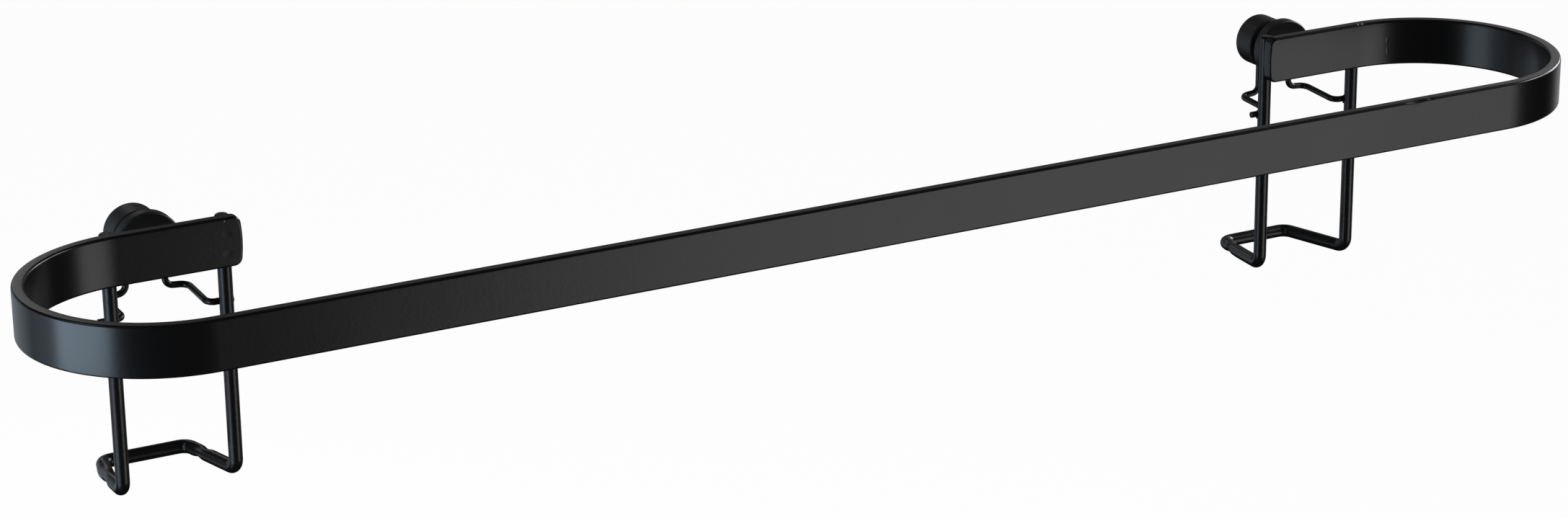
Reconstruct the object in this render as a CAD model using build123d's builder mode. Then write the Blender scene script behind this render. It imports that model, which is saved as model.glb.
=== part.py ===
"""Wall-hung towel holder.

A flat-bar rail bent to an open loop is welded to two bent-wire wall brackets. A thin wire loop on each
bracket hooks into the groove of a wall knob, and the foot of each bracket rests against the wall.

Frame: the wall is the plane Y = 0, the rail lies on the -Y side of it, +X runs along the rail and +Z is
up. The origin lies on the wall, midway between the screw holes of the two knobs. Millimetres.
"""

import os

from build123d import *

# Flat-bar rail: a straight front, half-round ends and two short returns behind
rail_length = 611.0
rail_depth = 99.0
band_height = 18.0
band_thickness = 4.5
band_edge_radius = 0.9
rail_wall_gap = 38.5
band_drop = 4.5

# Free ends of the returns: slightly crowned, with rounded corners
end_corner_radius = 3.0
end_crown = 0.8
left_end_overhang = 2.4
right_end_overhang = 0.4

# Wall brackets: round wire bent to two legs and a foot, each set in from its end of the rail
bracket_inset = 68.5
leg_pitch = 41.5
wire_diameter = 5.0
wire_end_radius = 1.0
leg_bend_radius = 4.2
leg_top_drop = 0.6
right_leg_short = 2.6
leg_drop = 81.2
foot_drop = 82.8
foot_width = 29.7
left_foot_reach = 2.0
left_run_bow = 1.5
right_run_bow = 0.6
run_bow_radius = 60.0

# Hanging loops: thin wire over the knob's neck, out to the legs and welded behind them
loop_wire_diameter = 2.4
loop_bend_radius = 3.0
loop_neck_clearance = 0.3
loop_drop = 18.0
loop_arm_drop = 18.7
loop_toe_drop = 19.7
loop_arm_width = 30.6
loop_toe_overhang = 1.2
weld_set_down = 0.3

# Wall knobs: a spool with a groove for the loop and a countersunk screw hole
knob_base_diameter = 20.0
knob_base_depth = 10.0
knob_groove_width = 5.0
knob_neck_diameter = 11.4
knob_head_diameter = 24.0
knob_head_depth = 5.0
knob_base_radius = 0.6
knob_head_radius = 0.9
screw_hole_diameter = 4.5
countersink_diameter = 9.0
countersink_angle = 90

# Weld beads between the legs and the back of the rail
bead_radius = 1.5
bead_offset = 2.4
bead_margin = 3.5

# Places worked out from the sizes
rail_back_y = -rail_wall_gap
rail_centre_y = rail_back_y - rail_depth / 2
band_bottom_z = -band_drop
band_top_z = band_bottom_z + band_height
band_middle_z = band_bottom_z + band_height / 2
wire_radius = wire_diameter / 2
loop_wire_radius = loop_wire_diameter / 2
knob_pitch = rail_length - 2 * bracket_inset
inner_leg_x = knob_pitch / 2 - leg_pitch / 2
left_end_x = -inner_leg_x + wire_radius + left_end_overhang
right_end_x = inner_leg_x - wire_radius - right_end_overhang
leg_y = rail_back_y + wire_radius
leg_top_z = band_top_z - leg_top_drop
foot_y = -wire_radius
knob_depth = knob_base_depth + knob_groove_width + knob_head_depth
groove_y = -knob_base_depth - knob_groove_width / 2
loop_radius = knob_neck_diameter / 2 + loop_neck_clearance + loop_wire_radius
toe_y = leg_y + wire_radius + loop_wire_radius - weld_set_down

os.makedirs("parts", exist_ok=True)


def export(piece, name):
    """Labels a finished piece and writes it under its own name."""
    piece.label = name
    export_step(piece, f"parts/{name}.step")


# Towel rail: a racetrack of flat bar, opened at the back between its two free ends
with BuildPart() as towel_rail:
    with BuildSketch(Plane.XY.offset(band_bottom_z)):
        with Locations((0, rail_centre_y)):
            SlotOverall(rail_length, rail_depth)
            SlotOverall(
                rail_length - 2 * band_thickness,
                rail_depth - 2 * band_thickness,
                mode=Mode.SUBTRACT,
            )
        with Locations(((left_end_x + right_end_x) / 2, rail_back_y)):
            Rectangle(right_end_x - left_end_x, 3 * band_thickness, mode=Mode.SUBTRACT)
    extrude(amount=band_height)

    # Each free end is crowned: the corners lie back from its middle
    for end_x, inward in ((left_end_x, -1), (right_end_x, 1)):
        corner_x = end_x + inward * end_crown
        outside_x = end_x - inward * end_crown
        with BuildSketch(Plane.XZ.offset(-rail_back_y)):
            with BuildLine():
                crown = ThreePointArc(
                    (corner_x, band_bottom_z), (end_x, band_middle_z), (corner_x, band_top_z)
                )
                Polyline(crown @ 1, (outside_x, band_top_z), (outside_x, band_bottom_z), crown @ 0)
            make_face()
        extrude(amount=band_thickness, mode=Mode.SUBTRACT)

    fillet(towel_rail.edges().filter_by(Axis.Y), end_corner_radius)
    rims = towel_rail.edges().filter_by(Axis.Z, reverse=True).filter_by(Axis.Y, reverse=True)
    fillet(rims, band_edge_radius)

export(towel_rail.part, "towel_rail")

# The left foot was bent a little further out, the left run of each foot bows outwards, and the outer leg
# of the right bracket was cut a little short
for side, centre_x, foot_reach, run_bow, leg_short in (
    ("left", -knob_pitch / 2, left_foot_reach, left_run_bow, 0),
    ("right", knob_pitch / 2, 0, right_run_bow, right_leg_short),
):
    leg_left_x = centre_x - leg_pitch / 2
    leg_right_x = centre_x + leg_pitch / 2
    foot_left_x = centre_x - foot_width / 2 - foot_reach
    foot_right_x = centre_x + foot_width / 2

    # Wall bracket: down one leg, back and inwards to the wall, along it and up the other leg
    with BuildPart() as wall_bracket:
        with BuildLine() as route:
            FilletPolyline(
                (leg_left_x, leg_y, leg_top_z),
                (leg_left_x, leg_y, -leg_drop),
                (
                    (leg_left_x + foot_left_x) / 2 - run_bow,
                    (leg_y + foot_y) / 2,
                    -(leg_drop + foot_drop) / 2,
                ),
                (foot_left_x, foot_y, -foot_drop),
                (foot_right_x, foot_y, -foot_drop),
                (leg_right_x, leg_y, -leg_drop),
                (leg_right_x, leg_y, leg_top_z - leg_short),
                radius=(
                    leg_bend_radius,
                    run_bow_radius,
                    leg_bend_radius,
                    leg_bend_radius,
                    leg_bend_radius,
                ),
            )
        with BuildSketch(Plane(route.line @ 0, z_dir=route.line % 0)):
            Circle(wire_radius)
        sweep()
        fillet(wall_bracket.faces().sort_by(Axis.Z)[-2:].edges(), wire_end_radius)

    export(wall_bracket.part, f"{side}_wall_bracket")

    # Hanging loop: toe behind one leg, arm back to the knob, over its neck and down to the other leg
    with BuildPart() as hanging_loop:
        with BuildLine() as route:
            ends = []
            for outward in (-1, 1):
                ends.append(
                    FilletPolyline(
                        (
                            centre_x + outward * (leg_pitch / 2 + wire_radius + loop_toe_overhang),
                            toe_y,
                            -loop_toe_drop,
                        ),
                        (centre_x + outward * loop_arm_width / 2, toe_y, -loop_toe_drop),
                        (centre_x + outward * loop_arm_width / 2, groove_y, -loop_arm_drop),
                        (centre_x + outward * loop_radius, groove_y, -loop_drop),
                        (centre_x + outward * loop_radius, groove_y, 0),
                        radius=loop_bend_radius,
                    )
                )
            ThreePointArc(ends[0] @ 1, (centre_x, groove_y, loop_radius), ends[1] @ 1)
        with BuildSketch(Plane(ends[0] @ 0, z_dir=ends[0] % 0)):
            Circle(loop_wire_radius)
        sweep()
        # Seats pressed into the toes where they are welded to the legs
        with Locations((leg_left_x, leg_y, -loop_toe_drop), (leg_right_x, leg_y, -loop_toe_drop)):
            Cylinder(wire_radius, 2 * loop_wire_diameter, mode=Mode.SUBTRACT)

    export(hanging_loop.part, f"{side}_hanging_loop")

    # Wall knob: a turned spool, flat against the wall
    with BuildPart() as wall_knob:
        with BuildSketch(Plane(origin=(centre_x, 0, 0))) as profile:
            with BuildLine():
                Polyline(
                    (0, 0),
                    (knob_base_diameter / 2, 0),
                    (knob_base_diameter / 2, -knob_base_depth),
                    (knob_neck_diameter / 2, -knob_base_depth),
                    (knob_neck_diameter / 2, -knob_base_depth - knob_groove_width),
                    (knob_head_diameter / 2, -knob_base_depth - knob_groove_width),
                    (knob_head_diameter / 2, -knob_depth),
                    (0, -knob_depth),
                    close=True,
                )
            make_face()
            outer_corners = profile.vertices().sort_by(Axis.X)
            fillet(outer_corners[-2:], knob_head_radius)
            fillet(outer_corners[-4:-2], knob_base_radius)
        revolve(axis=Axis((centre_x, 0, 0), (0, 1, 0)))
        with Locations(Plane(origin=(centre_x, -knob_depth, 0), z_dir=(0, -1, 0))):
            CounterSinkHole(
                screw_hole_diameter / 2,
                countersink_diameter / 2,
                depth=knob_depth,
                counter_sink_angle=countersink_angle,
            )

    export(wall_knob.part, f"{side}_wall_knob")

    # Weld beads: one in the nook beside each leg, on the side that faces the knob
    with BuildPart() as leg_welds:
        with BuildSketch(Plane.XY.offset(band_bottom_z + bead_margin)):
            with Locations((leg_left_x + bead_offset, rail_back_y), (leg_right_x - bead_offset, rail_back_y)):
                Circle(bead_radius)
            with Locations((leg_left_x, leg_y), (leg_right_x, leg_y)):
                Circle(wire_radius, mode=Mode.SUBTRACT)
            with Locations((centre_x, rail_back_y - bead_radius)):
                Rectangle(2 * leg_pitch, 2 * bead_radius, mode=Mode.SUBTRACT)
        extrude(amount=band_height - 2 * bead_margin)

    export(leg_welds.part, f"{side}_leg_welds")
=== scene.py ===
"""Looks of a wall-hung towel holder: black powder-coated steel, moulded knobs, studio light and camera."""

import math

import bmesh
import bpy
from mathutils import Matrix, Vector


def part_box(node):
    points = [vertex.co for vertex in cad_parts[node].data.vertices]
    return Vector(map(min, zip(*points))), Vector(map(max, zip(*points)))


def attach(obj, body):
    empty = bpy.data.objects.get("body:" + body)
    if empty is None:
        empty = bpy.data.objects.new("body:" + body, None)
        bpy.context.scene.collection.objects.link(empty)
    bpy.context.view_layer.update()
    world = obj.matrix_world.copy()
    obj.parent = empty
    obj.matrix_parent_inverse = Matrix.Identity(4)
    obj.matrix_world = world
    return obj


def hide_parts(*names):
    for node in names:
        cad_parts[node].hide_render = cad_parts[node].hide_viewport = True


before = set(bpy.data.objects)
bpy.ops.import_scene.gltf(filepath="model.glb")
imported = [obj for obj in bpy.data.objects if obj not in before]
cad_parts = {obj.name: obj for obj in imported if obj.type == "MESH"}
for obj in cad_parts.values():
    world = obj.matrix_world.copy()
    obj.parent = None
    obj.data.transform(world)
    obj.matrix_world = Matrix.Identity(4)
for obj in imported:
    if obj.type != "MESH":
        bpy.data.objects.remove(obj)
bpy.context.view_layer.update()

scene = bpy.context.scene
MM = 0.001


def linear(hex_colour):
    """The linear colour, with alpha, of an sRGB hex value."""
    channels = [int(hex_colour[place:place + 2], 16) / 255 for place in (1, 3, 5)]
    return (*(c / 12.92 if c <= 0.04045 else ((c + 0.055) / 1.055) ** 2.4 for c in channels), 1.0)


def add(tree, kind, links=(), **settings):
    """Adds a node: settings are its own properties or, by name, its inputs; links join inputs to outputs."""
    node = tree.nodes.new(kind)
    for name, value in settings.items():
        if hasattr(node, name):
            setattr(node, name, value)
        else:
            node.inputs[name.replace("_", " ")].default_value = value
    for socket, source in dict(links).items():
        tree.links.new(source, node.inputs[socket])
    return node


def new_material(name):
    """A material with its shader and its output."""
    material = bpy.data.materials.new(name)
    material.use_nodes = True
    tree = material.node_tree
    tree.nodes.clear()
    shader = add(tree, "ShaderNodeBsdfPrincipled")
    add(tree, "ShaderNodeOutputMaterial", {"Surface": shader.outputs["BSDF"]})
    return material, shader


# Colours and sizes of the finishes
COAT_DARK = "#060606"
COAT_LIGHT = "#0b0b0c"
# Pale steel of the chipped places, and also the colour of the painted glint
BARE_STEEL_AND_GLINT = "#a4a4a1"
ROUGHNESS_DRIFT = 0.03
CLOUD_SIZE = 38 * MM
NIB_SPACING = 9 * MM
NIB_RADIUS = 0.3 * MM
NIB_HEIGHT = 0.06 * MM
NIB_SHARE = 0.3
NYLON_DARK = "#0d0d0d"
NYLON_LIGHT = "#151515"
NYLON_ROUGHNESS = 0.45
GRIT_SIZE = 0.45 * MM
GRIT_DEPTH = 0.012 * MM

# Creases and dimples in the coat of the returns, in mm and degrees: middle, tilt, turn, half sizes, depth
COAT_CREASES = (
    ((-217.2, -43.0, 7.4), 20, 0, (2.4, 3, 1.8), 0.035),
    ((-216.9, -43.0, 0.6), -10, 0, (2.6, 3, 1.7), 0.035),
    ((-223.1, -43.0, 3.4), 35, 0, (0.3, 3, 1.3), 0.015),
    ((268.2, -44.7, 5.4), 10, -15.8, (0.6, 3, 1.7), 0.065),
    ((268.5, -44.8, 1.1), -8, -15.8, (0.65, 3, 2.1), 0.065),
    ((258.4, -43.1, 9.4), -25, -3, (0.3, 3, 1.4), 0.015),
    ((260.5, -43.3, 6.2), -67, -5, (0.3, 3, 2.3), 0.015),
)
# Pale spots on the top edges of the returns: chipped places that bare the steel, and the first one a painted
# glint on the tip corner of the left return; in mm and degrees: middle, tilt, turn, half sizes
COAT_CHIPS_AND_GLINT = (
    # A painted glint on the tip corner of the left return
    ((-212.9, -42.7, 12.7), 0, 0, (0.55, 0.6, 0.45)),
    ((-217.8, -43.0, 12.3), 0, 0, (0.25, 0.6, 0.25)),
    ((255.4, -42.5, 13.3), 0, 0, (0.45, 0.45, 0.45)),
    ((257.3, -42.5, 13.3), 0, 0, (0.9, 0.4, 0.3)),
)


def mark_mask(tree, place, middle, tilt, turn, half_sizes):
    """A soft spot in a material: 1 at its middle, 0 at the rim of an ellipsoid."""
    spot = add(
        tree,
        "ShaderNodeMapping",
        {"Vector": place},
        vector_type="TEXTURE",
        Location=Vector(middle) * MM,
        Rotation=(0, math.radians(tilt), math.radians(turn)),
        Scale=Vector(half_sizes) * MM,
    )
    fade = add(tree, "ShaderNodeTexGradient", {"Vector": spot.outputs["Vector"]}, gradient_type="SPHERICAL")
    smooth = add(
        tree, "ShaderNodeMapRange", {"Value": fade.outputs["Fac"]}, interpolation_type="SMOOTHSTEP"
    )
    return smooth.outputs["Result"]


def cloudy_tint(tree, place, dark, light):
    """A colour that drifts between two tints, and the soft clouds that it follows."""
    cloud = add(tree, "ShaderNodeTexNoise", {"Vector": place}, Scale=1 / CLOUD_SIZE, Detail=2.0)
    tint = add(tree, "ShaderNodeMix", {"Factor": cloud.outputs["Fac"]}, data_type="RGBA")
    tint.inputs["A"].default_value = linear(dark)
    tint.inputs["B"].default_value = linear(light)
    return tint.outputs["Result"], cloud.outputs["Fac"]


def powder_coat(name, roughness, peel_size, peel_depth, creases=(), chips_and_glint=()):
    """Polyester powder, sprayed on steel and baked: near black, a soft satin gleam, a fine orange peel.

    Nibs of dust are baked into it, and the peel is drawn a little coarser than the real one, so that it
    shows at all. Creases are dents where the steel was bent. Chipped places bare the pale phosphated
    steel, and one pale spot, at the tip corner of the left return, is a painted glint.
    """
    material, shader = new_material(name)
    tree = material.node_tree
    place = add(tree, "ShaderNodeTexCoord").outputs["Object"]
    colour, cloud = cloudy_tint(tree, place, COAT_DARK, COAT_LIGHT)
    # Pale spots: chipped places that bare the steel, and one painted glint
    for pale_spot in chips_and_glint:
        pale_spotted = add(tree, "ShaderNodeMix", {"Factor": mark_mask(tree, place, *pale_spot)}, data_type="RGBA")
        tree.links.new(colour, pale_spotted.inputs["A"])
        pale_spotted.inputs["B"].default_value = linear(BARE_STEEL_AND_GLINT)
        colour = pale_spotted.outputs["Result"]
    tree.links.new(colour, shader.inputs["Base Color"])
    patchy = add(
        tree,
        "ShaderNodeMapRange",
        {"Value": cloud},
        To_Min=roughness - ROUGHNESS_DRIFT,
        To_Max=roughness + ROUGHNESS_DRIFT,
    )
    tree.links.new(patchy.outputs["Result"], shader.inputs["Roughness"])

    # Height of the surface in metres: peel, nibs on some of their places, creases
    peel = add(tree, "ShaderNodeTexNoise", {"Vector": place}, Scale=1 / peel_size, Detail=2.0)
    height = add(tree, "ShaderNodeMath", {0: peel.outputs["Fac"]}, operation="MULTIPLY")
    height.inputs[1].default_value = peel_depth
    dust = add(tree, "ShaderNodeTexVoronoi", {"Vector": place}, Scale=1 / NIB_SPACING)
    nib = add(
        tree,
        "ShaderNodeMapRange",
        {"Value": dust.outputs["Distance"]},
        interpolation_type="SMOOTHSTEP",
        From_Max=NIB_RADIUS / NIB_SPACING,
        To_Min=NIB_HEIGHT,
        To_Max=0.0,
    )
    chosen = add(tree, "ShaderNodeMath", {0: dust.outputs["Color"]}, operation="LESS_THAN")
    chosen.inputs[1].default_value = NIB_SHARE
    height = add(
        tree,
        "ShaderNodeMath",
        {0: nib.outputs["Result"], 1: chosen.outputs["Value"], 2: height.outputs["Value"]},
        operation="MULTIPLY_ADD",
    )
    for *where, depth in creases:
        height = add(
            tree,
            "ShaderNodeMath",
            {0: mark_mask(tree, place, *where), 2: height.outputs["Value"]},
            operation="MULTIPLY_ADD",
        )
        height.inputs[1].default_value = -depth * MM
    bump = add(tree, "ShaderNodeBump", {"Height": height.outputs["Value"]}, Distance=1.0)
    tree.links.new(bump.outputs["Normal"], shader.inputs["Normal"])
    return material


def moulded_nylon(name):
    """Black nylon from a spark-eroded mould: matt and fine-grained, with a dull bloom on its round sides."""
    material, shader = new_material(name)
    tree = material.node_tree
    place = add(tree, "ShaderNodeTexCoord").outputs["Object"]
    colour = cloudy_tint(tree, place, NYLON_DARK, NYLON_LIGHT)[0]
    tree.links.new(colour, shader.inputs["Base Color"])
    shader.inputs["Roughness"].default_value = NYLON_ROUGHNESS
    grit = add(tree, "ShaderNodeTexNoise", {"Vector": place}, Scale=1 / GRIT_SIZE, Detail=2.0)
    bump = add(tree, "ShaderNodeBump", {"Height": grit.outputs["Fac"]}, Distance=GRIT_DEPTH)
    tree.links.new(bump.outputs["Normal"], shader.inputs["Normal"])
    return material


# Making of the pieces: points this near, in mm, are one, and a turn over this angle is a sharp edge
MERGE_DISTANCE = 0.001
SHARP_TURN = math.radians(35)


def finished(rough, name, slot, *nodes):
    """Turns an object with modifiers into a plain piece that stands for the nodes."""
    view = bpy.context.evaluated_depsgraph_get()
    mesh = bpy.data.meshes.new_from_object(rough.evaluated_get(view), depsgraph=view)
    bpy.data.objects.remove(rough)
    piece = bpy.data.objects.new(name, mesh)
    scene.collection.objects.link(piece)
    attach(piece, "root")
    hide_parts(*nodes)


def evenly_shaded(body, name, material, slot, node):
    """Makes a piece from a bmesh, which it uses up, with shading that runs unbroken from flats to bends."""
    mesh = bpy.data.meshes.new(name)
    body.to_mesh(mesh)
    body.free()
    mesh.shade_smooth()
    mesh.set_sharp_from_angle(angle=SHARP_TURN)
    mesh.materials.append(material)
    rough = bpy.data.objects.new(f"{name}_rough", mesh)
    scene.collection.objects.link(rough)
    weigh = rough.modifiers.new("even shading", "WEIGHTED_NORMAL")
    weigh.mode = "FACE_AREA_WITH_ANGLE"
    weigh.keep_sharp = True
    finished(rough, name, slot, node)


# Press marks of the bending tools, in mm. A run of bar or wire: two points of its middle line, girth, marks
PRESSED_RUNS = {
    "left_wall_bracket": (
        (
            (-222.15, -2.5, -82.8),
            (-216.25, -36.0, -81.2),
            3.6,
            (
                (8.5, (-0.81, -0.11, 0.58), 0.6, 6.0),
                (13.0, (0.57, 0.14, 0.81), 0.55, 4.0),
                (9.5, (-0.57, -0.14, -0.81), 0.5, 4.0),
            ),
        ),
        (
            (-253.85, -2.5, -82.8),
            (-257.75, -36.0, -81.2),
            4.6,
            (
                (12.0, (-0.49, 0.1, 0.87), 0.7, 9.0),
                (9.0, (-0.87, 0.08, -0.49), -0.45, 6.0),
                (19.0, (-0.87, 0.08, -0.49), 0.7, 5.0),
            ),
        ),
    ),
    "right_wall_bracket": (
        (
            (222.15, -2.5, -82.8),
            (216.25, -36.0, -81.2),
            4.0,
            (
                (6.5, (-0.83, 0.18, 0.54), 0.35, 4.5),
                (10.7, (0.54, -0.05, 0.84), 0.6, 4.0),
                (8.8, (-0.54, 0.05, -0.84), 0.55, 3.5),
            ),
        ),
    ),
    "towel_rail": (
        (
            (200.0, -136.6, 12.6),
            (230.0, -136.6, 12.6),
            3.2,
            (
                (13.0, (0, -0.7, 0.7), 0.45, 6.0),
                (19.5, (0, -0.7, 0.7), 0.25, 2.0),
            ),
        ),
    ),
}
RING_SPACING = 0.7


def press(body, start, end, girth, marks):
    """Cuts rings across a run of bar or wire and presses the marks into it.

    A mark has its distance from the start, the side that was pressed, its depth and half its length.
    """
    along = (Vector(end) - Vector(start)).normalized()
    start = Vector(start) * MM
    girth = girth * MM

    def reach(co):
        """How far a point lies along the run, and how far out of its middle line."""
        ahead = (co - start).dot(along)
        return ahead, co - start - ahead * along

    first = min(middle - half for middle, side, depth, half in marks)
    last = max(middle + half for middle, side, depth, half in marks)
    for ring in range(int((last - first) / RING_SPACING) + 2):
        spot = start + (first + ring * RING_SPACING) * MM * along
        run = [face for face in body.faces if all(reach(v.co)[1].length < girth for v in face.verts)]
        cut = dict.fromkeys(item for face in run for item in (face, *face.edges, *face.verts))
        bmesh.ops.bisect_plane(body, geom=list(cut), plane_co=spot, plane_no=along)
    for vert in body.verts:
        ahead, out = reach(vert.co)
        if out.length > girth:
            continue
        for middle, side, depth, half in marks:
            fade = 1 - ((ahead / MM - middle) / half) ** 2
            facing = out.dot(Vector(side)) / out.length if out.length else 0
            if fade > 0 and facing > 0:
                vert.co -= Vector(side) * depth * MM * fade ** 2 * facing ** 2


def coated_copy(node, material, slot):
    """Replaces a node by a copy of it, with its points merged and its press marks."""
    body = bmesh.new()
    body.from_mesh(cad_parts[node].data)
    bmesh.ops.remove_doubles(body, verts=body.verts, dist=MERGE_DISTANCE * MM)
    for run in PRESSED_RUNS.get(node, ()):
        press(body, *run)
    evenly_shaded(body, f"{node}_coated", material, slot, node)


# Flat bar of the rail, in mm: its section, and the crowned free ends of its returns
BAR_THICKNESS = 4.5
BAR_EDGE_RADIUS = 0.9
END_CORNER_RADIUS = 3.0
END_CROWN = 0.8
LEFT_END_X = -211.35
RIGHT_END_X = 213.35
# Its faces: steps round an edge, up half a crown, round a corner and round a bend
EDGE_STEPS = 6
CROWN_STEPS = 4
CORNER_STEPS = 8
BEND_STEPS = 96
# Its flats are cut at these shares of the way down, so that a press mark on an edge stays near the edge
FLAT_ROWS = (0.125, 0.875)


def end_outline(half_height):
    """Upper half of a free end's outline, from its tip up to its top edge.

    Each point has its place, behind the tip and above the middle, and the way that the outline faces.
    """
    crown_radius = (half_height ** 2 + END_CROWN ** 2) / (2 * END_CROWN)
    corner_up = half_height - END_CORNER_RADIUS
    crown_turn = math.asin(corner_up / (crown_radius - END_CORNER_RADIUS))
    corner_back = crown_radius - corner_up / math.tan(crown_turn)
    arcs = []
    for n in range(CROWN_STEPS):
        arcs.append((crown_radius, Vector((crown_radius, 0)), crown_turn * (n + 0.5) / CROWN_STEPS))
    for n in range(CORNER_STEPS + 1):
        turn = crown_turn + (math.pi / 2 - crown_turn) * n / CORNER_STEPS
        arcs.append((END_CORNER_RADIUS, Vector((corner_back, corner_up)), turn))
    outline = []
    for radius, centre, turn in arcs:
        facing = Vector((-math.cos(turn), math.sin(turn)))
        outline.append((centre + radius * facing, facing))
    return outline


def bar_stations(low, high):
    """Stations along the bar's middle line: place, heading, half height, the way that its top edge faces."""
    half_height = (high.z - low.z) / 2
    middle_y = (low.y + high.y) / 2
    radius = (high.y - low.y - BAR_THICKNESS) / 2
    bend_x = high.x - (high.y - low.y) / 2
    homeward = Vector((-1, 0))
    end = end_outline(half_height)
    stations = [
        (Vector((LEFT_END_X - spot.x, middle_y + radius)), homeward, spot.y, facing) for spot, facing in end
    ]
    for side in (-1, 1):
        for step in range(BEND_STEPS + 1):
            turn = math.pi * step / BEND_STEPS
            out = side * Vector((math.sin(turn), -math.cos(turn)))
            place = Vector((side * bend_x, middle_y)) + radius * out
            stations.append((place, Vector((-out.y, out.x)), half_height, Vector((0, 1))))
    stations += [
        (Vector((RIGHT_END_X + spot.x, middle_y + radius)), homeward, spot.y, Vector((-facing.x, facing.y)))
        for spot, facing in reversed(end)
    ]
    return stations


def edge_rings(body, stations, middle_z):
    """Rings of points along the top edge and back along the bottom one, from outer flat to inner flat."""
    turns = [math.pi / 2 * step / EDGE_STEPS for step in range(EDGE_STEPS + 1)]
    rings = []
    for outwards, turn in [(1, turn) for turn in turns] + [(-1, turn) for turn in reversed(turns)]:
        inset = BAR_EDGE_RADIUS * (1 - math.sin(turn))
        aside = outwards * (BAR_THICKNESS / 2 - BAR_EDGE_RADIUS * (1 - math.cos(turn)))
        edges = []
        for up in (1, -1):
            edge = []
            for place, heading, half_height, facing in stations:
                flat = place + aside * Vector((heading.y, -heading.x)) - inset * facing.x * heading
                rise = middle_z + up * (half_height - inset * facing.y)
                edge.append(body.verts.new(Vector((*flat, rise)) * MM))
            edges.append(edge)
        rings.append(edges[0] + edges[1][::-1])
    return rings


def flat_rows(body, top, bottom):
    """Closes a flat with rows of faces from its top edge to its bottom one, and one face at each end."""
    rows = [top[1:-1]]
    for share in FLAT_ROWS:
        pairs = zip(top[1:-1], bottom[1:-1])
        rows.append([body.verts.new(above.co.lerp(below.co, share)) for above, below in pairs])
    rows.append(bottom[1:-1])
    for row, next_row in zip(rows, rows[1:]):
        for n in range(1, len(row)):
            body.faces.new((row[n - 1], row[n], next_row[n], next_row[n - 1]))
    for end in (0, -1):
        body.faces.new((top[end], *(row[end] for row in rows), bottom[end]))


def bent_rail(material):
    """Replaces the rail by one bent along its middle line, with even rows of faces round its edges."""
    low, high = (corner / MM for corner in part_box("towel_rail"))
    stations = bar_stations(low, high)
    body = bmesh.new()
    rings = edge_rings(body, stations, (low.z + high.z) / 2)
    for ring, next_ring in zip(rings, rings[1:]):
        for n in range(len(ring)):
            body.faces.new((ring[n - 1], ring[n], next_ring[n], next_ring[n - 1]))
    for ring in (rings[0], rings[-1]):
        flat_rows(body, ring[:len(stations)], ring[len(stations):][::-1])
    bmesh.ops.recalc_face_normals(body, faces=body.faces)
    for run in PRESSED_RUNS["towel_rail"]:
        press(body, *run)
    evenly_shaded(body, "bent_rail", material, "rail_powder_coat", "towel_rail")


# Wall knob, in mm: corners of its half outline as radius, depth and rounding
KNOB_OUTLINE = (
    (2.25, 0, 0),
    (10, 0, 0.6),
    (10, -10, 0.6),
    (5.7, -10, 0),
    (5.7, -15, 0),
    (12, -15, 0.9),
    (12, -20, 0.9),
    (4.5, -20, 0.2),
    (2.25, -17.75, 0),
)
ROUNDING_STEPS = 8
KNOB_STEPS = 120


def rounded(corners):
    """The points of an outline with its corners rounded."""
    points = []
    for place, (*corner, radius) in enumerate(corners):
        corner = Vector(corner)
        if not radius:
            points.append(corner)
            continue
        before = (Vector(corners[place - 1][:2]) - corner).normalized()
        after = (Vector(corners[(place + 1) % len(corners)][:2]) - corner).normalized()
        half = before.angle(after) / 2
        centre = corner + (before + after).normalized() * radius / math.sin(half)
        first = (corner + before * radius / math.tan(half) - centre).normalized()
        last = (corner + after * radius / math.tan(half) - centre).normalized()
        for step in range(ROUNDING_STEPS + 1):
            points.append(centre + first.slerp(last, step / ROUNDING_STEPS) * radius)
    return points


def moulded_knob(side, material):
    """Replaces a wall knob by one spun from its outline, with even rings of faces."""
    low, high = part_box(f"{side}_wall_knob")
    middle = Vector(((low.x + high.x) / 2, high.y, (low.z + high.z) / 2))
    outline = [Vector((radius, depth, 0)) * MM for radius, depth in rounded(KNOB_OUTLINE)]
    body = bmesh.new()
    rims = []
    for step in range(KNOB_STEPS):
        turn = Matrix.Rotation(2 * math.pi * step / KNOB_STEPS, 3, "Y")
        rims.append([body.verts.new(middle + turn @ spot) for spot in outline])
    for step, rim in enumerate(rims):
        last_rim = rims[step - 1]
        for n in range(len(rim)):
            body.faces.new((last_rim[n - 1], last_rim[n], rim[n], rim[n - 1]))
    bmesh.ops.recalc_face_normals(body, faces=body.faces)
    evenly_shaded(body, f"{side}_knob_moulding", material, "knob_plastic", f"{side}_wall_knob")


# Welds, in mm: beads beside the legs, and nuggets squeezed out above and below the toes of the hanging loops
WIRE_RADIUS = 2.5
TOE_RADIUS = 1.2
BEAD_RADIUS = 1.5
BEAD_SINK = 0.15
NUGGET_RADIUS = 0.6
NUGGET_LENGTH = 3.4
DROP_SPACING = 1.3
DROP_SWELL = 0.2
WELD_WANDER = 0.35
WANDER_SIZE = 3
WELD_SEED = 7.0
WELD_BLUNTNESS = 6
# Their faces: spacing of the rings, sides of a ring, and how near points are merged
WELD_RING_SPACING = 0.2
WELD_SIDES = 18
WELD_MERGE_DISTANCE = 0.005


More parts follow.
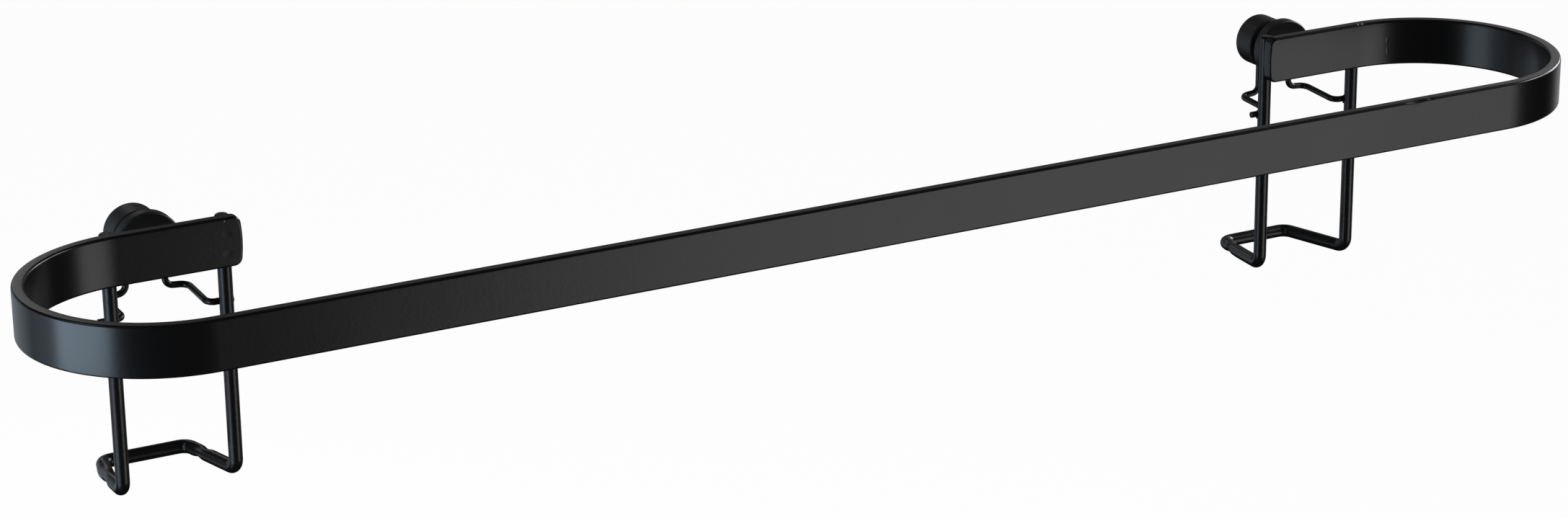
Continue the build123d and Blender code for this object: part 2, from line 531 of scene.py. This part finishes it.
def weld_tree():
    """A weld along each edge of a mesh: a little crooked, swollen at each drop and rounded at its ends."""
    tree = bpy.data.node_groups.new("weld runs", "GeometryNodeTree")
    inputs = (
        ("Geometry", "NodeSocketGeometry"),
        ("Drop Spacing", "NodeSocketFloat"),
        ("Drop Swell", "NodeSocketFloat"),
        ("Wander", "NodeSocketFloat"),
        ("Seed", "NodeSocketFloat"),
        ("Material", "NodeSocketMaterial"),
    )
    keys = {
        name: tree.interface.new_socket(name, in_out="INPUT", socket_type=kind).identifier
        for name, kind in inputs
    }
    tree.interface.new_socket("Geometry", in_out="OUTPUT", socket_type="NodeSocketGeometry")
    given = add(tree, "NodeGroupInput").outputs

    # Course: each line shaken a little out of true
    lines = add(tree, "GeometryNodeMeshToCurve", {"Mesh": given["Geometry"]})
    fine = add(
        tree,
        "GeometryNodeResampleCurve",
        {"Curve": lines.outputs["Curve"]},
        mode="LENGTH",
        Length=WELD_RING_SPACING * MM,
    )
    spot = add(tree, "GeometryNodeInputPosition")
    shake = add(
        tree,
        "ShaderNodeTexNoise",
        {"Vector": spot.outputs["Position"], "W": given["Seed"]},
        noise_dimensions="4D",
        Scale=1 / (WANDER_SIZE * MM),
        Detail=1.0,
    )
    centred = add(tree, "ShaderNodeVectorMath", {0: shake.outputs["Color"]}, operation="SUBTRACT")
    centred.inputs[1].default_value = (0.5, 0.5, 0.5)
    aside = add(
        tree,
        "ShaderNodeVectorMath",
        {0: centred.outputs["Vector"], "Scale": given["Wander"]},
        operation="SCALE",
    )
    crooked = add(
        tree,
        "GeometryNodeSetPosition",
        {"Geometry": fine.outputs["Curve"], "Offset": aside.outputs["Vector"]},
    )

    # Thickness: the weld's own, swollen at each drop and rounded off at both ends
    run = add(tree, "GeometryNodeSplineParameter")
    drops = add(
        tree, "ShaderNodeMath", {0: run.outputs["Length"], 1: given["Drop Spacing"]}, operation="DIVIDE"
    )
    phase = add(tree, "ShaderNodeMath", {0: drops.outputs["Value"]}, operation="MULTIPLY")
    phase.inputs[1].default_value = math.pi
    wave = add(tree, "ShaderNodeMath", {0: phase.outputs["Value"]}, operation="SINE")
    bulge = add(tree, "ShaderNodeMath", {0: wave.outputs["Value"]}, operation="ABSOLUTE")
    swollen = add(
        tree,
        "ShaderNodeMath",
        {0: bulge.outputs["Value"], 1: given["Drop Swell"]},
        operation="MULTIPLY_ADD",
    )
    swollen.inputs[2].default_value = 1 - DROP_SWELL / 2
    across = add(tree, "ShaderNodeMapRange", {"Value": run.outputs["Factor"]}, To_Min=-1.0, To_Max=1.0)
    outer = add(tree, "ShaderNodeMath", {0: across.outputs["Result"]}, operation="ABSOLUTE")
    steep = add(tree, "ShaderNodeMath", {0: outer.outputs["Value"]}, operation="POWER")
    steep.inputs[1].default_value = WELD_BLUNTNESS
    left = add(tree, "ShaderNodeMath", {1: steep.outputs["Value"]}, operation="SUBTRACT")
    left.inputs[0].default_value = 1
    ends = add(tree, "ShaderNodeMath", {0: left.outputs["Value"]}, operation="SQRT")
    shape = add(
        tree, "ShaderNodeMath", {0: swollen.outputs["Value"], 1: ends.outputs["Value"]}, operation="MULTIPLY"
    )
    bead = add(tree, "GeometryNodeInputNamedAttribute", data_type="FLOAT", Name="bead_radius")
    thick = add(
        tree,
        "ShaderNodeMath",
        {0: shape.outputs["Value"], 1: bead.outputs["Attribute"]},
        operation="MULTIPLY",
    )

    # Skin: a closed tube of that thickness, coated
    ring = add(tree, "GeometryNodeCurvePrimitiveCircle", mode="RADIUS", Resolution=WELD_SIDES, Radius=1.0)
    tube = add(
        tree,
        "GeometryNodeCurveToMesh",
        {
            "Curve": crooked.outputs["Geometry"],
            "Profile Curve": ring.outputs["Curve"],
            "Scale": thick.outputs["Value"],
        },
        Fill_Caps=True,
    )
    closed = add(
        tree,
        "GeometryNodeMergeByDistance",
        {"Geometry": tube.outputs["Mesh"]},
        Distance=WELD_MERGE_DISTANCE * MM,
    )
    soft = add(tree, "GeometryNodeSetShadeSmooth", {"Geometry": closed.outputs["Geometry"]})
    real = add(tree, "GeometryNodeRealizeInstances", {"Geometry": soft.outputs["Geometry"]})
    coated = add(
        tree,
        "GeometryNodeSetMaterial",
        {"Geometry": real.outputs["Geometry"], "Material": given["Material"]},
    )
    add(tree, "NodeGroupOutput", {"Geometry": coated.outputs["Geometry"]})
    return tree, keys


def weld_runs(side, tree, keys, material):
    """The welds of one bracket: a bead in the nook beside each leg, two nuggets at each toe."""
    low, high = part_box(f"{side}_leg_welds")
    bracket_low, bracket_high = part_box(f"{side}_wall_bracket")
    toe_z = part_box(f"{side}_hanging_loop")[0].z + TOE_RADIUS * MM
    crevice_y = bracket_low.y + (2 * WIRE_RADIUS + BEAD_SINK) * MM
    lines = []
    for bead_x in (low.x + BEAD_RADIUS * MM, high.x - BEAD_RADIUS * MM):
        bead_y = low.y + BEAD_SINK * MM
        lines.append(((bead_x, bead_y, low.z), (bead_x, bead_y, high.z), BEAD_RADIUS))
    for leg_x in (bracket_low.x + WIRE_RADIUS * MM, bracket_high.x - WIRE_RADIUS * MM):
        for nugget_z in (toe_z - TOE_RADIUS * MM, toe_z + TOE_RADIUS * MM):
            half = NUGGET_LENGTH / 2 * MM
            lines.append(
                ((leg_x - half, crevice_y, nugget_z), (leg_x + half, crevice_y, nugget_z), NUGGET_RADIUS)
            )
    mesh = bpy.data.meshes.new(f"{side}_weld_lines")
    points = [point for *ends, radius in lines for point in ends]
    mesh.from_pydata(points, [(2 * n, 2 * n + 1) for n in range(len(lines))], [])
    radii = mesh.attributes.new("bead_radius", "FLOAT", "POINT")
    for n, (*ends, radius) in enumerate(lines):
        radii.data[2 * n].value = radii.data[2 * n + 1].value = radius * MM
    rough = bpy.data.objects.new(f"{side}_weld_lines", mesh)
    scene.collection.objects.link(rough)
    weld = rough.modifiers.new("weld runs", "NODES")
    weld.node_group = tree
    weld[keys["Drop Spacing"]] = DROP_SPACING * MM
    weld[keys["Drop Swell"]] = DROP_SWELL
    weld[keys["Wander"]] = WELD_WANDER * MM
    weld[keys["Seed"]] = WELD_SEED
    weld[keys["Material"]] = material
    finished(rough, f"{side}_weld_runs", "wire_powder_coat", f"{side}_leg_welds")


bar_coat = powder_coat(
    "powder coat on flat bar",
    roughness=0.27,
    peel_size=1.2 * MM,
    peel_depth=0.016 * MM,
    creases=COAT_CREASES,
    chips_and_glint=COAT_CHIPS_AND_GLINT,
)
wire_coat = powder_coat("powder coat on wire", roughness=0.3, peel_size=1.7 * MM, peel_depth=0.07 * MM)
nylon = moulded_nylon("moulded nylon")

bent_rail(bar_coat)
weld_nodes, weld_keys = weld_tree()
for side in ("left", "right"):
    coated_copy(f"{side}_wall_bracket", wire_coat, "wire_powder_coat")
    coated_copy(f"{side}_hanging_loop", wire_coat, "wire_powder_coat")
    moulded_knob(side, nylon)
    weld_runs(side, weld_nodes, weld_keys, wire_coat)


# Camera: its bearing and distance, and how far the origin lies aside of and above the middle of its frame
VIEW_AZIMUTH = math.radians(-28.202)
VIEW_ELEVATION = math.radians(19.138)
VIEW_ROLL = math.radians(-0.668)
VIEW_DISTANCE = 1.51373
VIEW_ASIDE = -0.01926
VIEW_ABOVE = 0.049345
LENS_MM = 92.851
SENSOR_MM = 36.0


def place_camera():
    """Sets the camera at the photograph's viewing angle."""
    level = math.cos(VIEW_ELEVATION)
    forward = Vector(
        (-math.sin(VIEW_AZIMUTH) * level, math.cos(VIEW_AZIMUTH) * level, -math.sin(VIEW_ELEVATION))
    )
    level_right = Vector((math.cos(VIEW_AZIMUTH), math.sin(VIEW_AZIMUTH), 0))
    level_up = level_right.cross(forward)
    right = math.cos(VIEW_ROLL) * level_right + math.sin(VIEW_ROLL) * level_up
    up = math.cos(VIEW_ROLL) * level_up - math.sin(VIEW_ROLL) * level_right
    camera = bpy.data.objects.new("camera", bpy.data.cameras.new("camera"))
    scene.collection.objects.link(camera)
    camera.data.lens = LENS_MM
    camera.data.sensor_width = SENSOR_MM
    camera.data.sensor_fit = "HORIZONTAL"
    stand = -VIEW_DISTANCE * forward - VIEW_ASIDE * right - VIEW_ABOVE * up
    turn = Matrix((right, up, -forward)).transposed().to_4x4()
    camera.matrix_world = Matrix.Translation(stand) @ turn
    scene.camera = camera


def bearing(azimuth, elevation, distance):
    """The place at that bearing from the origin, in degrees: azimuth from the front (-Y) towards +X."""
    level = math.cos(math.radians(elevation)) * distance
    return Vector(
        (
            math.sin(math.radians(azimuth)) * level,
            -math.cos(math.radians(azimuth)) * level,
            math.sin(math.radians(elevation)) * distance,
        )
    )


# Studio, in metres: a white room with a pale floor, a dark curtain round the set, and soft boxes
FLOOR_DROP = 1.5
FLOOR_SIZE = 40.0
FLOOR_COLOUR = "#fcfcfc"
WHITE = "#ffffff"
CURTAIN_COLOUR = "#0e0e0e"
CURTAIN_RADIUS = 2.6
CURTAIN_TOP = 2.4
CURTAIN_DROP = 1.485
CURTAIN_SIDES = 64
STAGE_ROUGHNESS = 0.9
MIDDLE = Vector((0, -0.08, 0))
RIGHT_RIM = Vector((0.28, -0.13, 0.01))
# Watts that a square metre of a lamp's face takes for a radiance of 1
LAMP_POWER = 4

# Soft boxes and lit backdrops: name, place, what it faces, width and height, radiance, colour
SOFT_BOXES = (
    ("left soft box", Vector((-0.486, -0.132, -0.032)), MIDDLE, (0.184, 0.104), 3.5, "#cee9ff"),
    ("left low soft box", Vector((-0.78, -0.15, -0.36)), MIDDLE, (0.46, 0.3), 1.6, "#e0f0ff"),
    ("left high soft box", bearing(-90, 38, 1.5), MIDDLE, (0.6, 0.3), 2.0, "#e0f0ff"),
    ("left side soft box", bearing(-112, -10, 1.6), MIDDLE, (0.8, 0.8), 0.45, "#e0f0ff"),
    ("left back soft box", bearing(-156, -7, 1.6), MIDDLE, (1.3, 1.25), 0.4, "#e8f4ff"),
    ("right soft box", bearing(33, -17.5, 1.68), MIDDLE, (0.88, 0.9), 1.22, WHITE),
    ("right back soft box", bearing(102, 15, 1.6), MIDDLE, (0.7, 0.5), 6.0, "#f4f9ff"),
    ("left backdrop light", Vector((0.02, 1.45, 0.6)), Vector((0.02, 0, 0.6)), (0.34, 0.6), 0.7, WHITE),
    ("middle backdrop light", Vector((0.935, 1.45, 0.6)), Vector((0.935, 0, 0.6)), (1.21, 0.6), 0.16, WHITE),
    ("right backdrop light", Vector((1.72, 1.45, 0.6)), Vector((1.72, 0, 0.6)), (0.36, 0.6), 0.6, WHITE),
    ("right low soft box", Vector((1.084, 0.552, -0.54)), MIDDLE, (1.1, 0.6), 0.14, WHITE),
    ("right near soft box", Vector((0.579, 0.131, -0.117)), RIGHT_RIM, (0.27, 0.24), 0.3, WHITE),
    ("right high soft box", Vector((1.37, -0.355, 0.67)), RIGHT_RIM, (0.45, 0.3), 11.0, "#f8fbff"),
)


def soft_box(name, stand, target, size, radiance, colour):
    """A soft box that faces a target. At a radiance of 1 its face is as bright as white paper."""
    lamp = bpy.data.lights.new(name, "AREA")
    lamp.shape = "RECTANGLE"
    lamp.size, lamp.size_y = size
    lamp.energy = LAMP_POWER * radiance * size[0] * size[1]
    lamp.color = linear(colour)[:3]
    box = bpy.data.objects.new(name, lamp)
    scene.collection.objects.link(box)
    turn = (target - stand).to_track_quat("-Z", "Y").to_matrix().to_4x4()
    box.matrix_world = Matrix.Translation(stand) @ turn
    box.visible_camera = False


def stage_piece(name, outline, colour):
    """A matt stage piece, from a bmesh that it uses up."""
    mesh = bpy.data.meshes.new(name)
    outline.to_mesh(mesh)
    outline.free()
    material, shader = new_material(name)
    shader.inputs["Base Color"].default_value = linear(colour)
    shader.inputs["Roughness"].default_value = STAGE_ROUGHNESS
    shader.inputs["Specular IOR Level"].default_value = 0.0
    mesh.materials.append(material)
    piece = bpy.data.objects.new(name, mesh)
    scene.collection.objects.link(piece)
    return piece


def build_studio():
    """Floor, curtain, room light and lamps."""
    ground = bmesh.new()
    bmesh.ops.create_grid(ground, size=FLOOR_SIZE / 2, matrix=Matrix.Translation((0, 0, -FLOOR_DROP)))
    stage_piece("floor", ground, FLOOR_COLOUR)

    # The curtain keeps the black coat's mirror images dark, and shows in nothing else
    drape = bmesh.new()
    bmesh.ops.create_cone(
        drape,
        cap_ends=True,
        segments=CURTAIN_SIDES,
        radius1=CURTAIN_RADIUS,
        radius2=CURTAIN_RADIUS,
        depth=CURTAIN_TOP + CURTAIN_DROP,
        matrix=Matrix.Translation((0, 0, (CURTAIN_TOP - CURTAIN_DROP) / 2)),
    )
    curtain = stage_piece("dark curtain", drape, CURTAIN_COLOUR)
    curtain.visible_camera = False
    curtain.visible_diffuse = False
    curtain.visible_transmission = False
    curtain.visible_shadow = False

    scene.world = bpy.data.worlds.new("room")
    scene.world.use_nodes = True
    scene.world.node_tree.nodes["Background"].inputs["Color"].default_value = linear(WHITE)

    for box in SOFT_BOXES:
        soft_box(*box)


scene.view_settings.view_transform = "Standard"
place_camera()
build_studio()
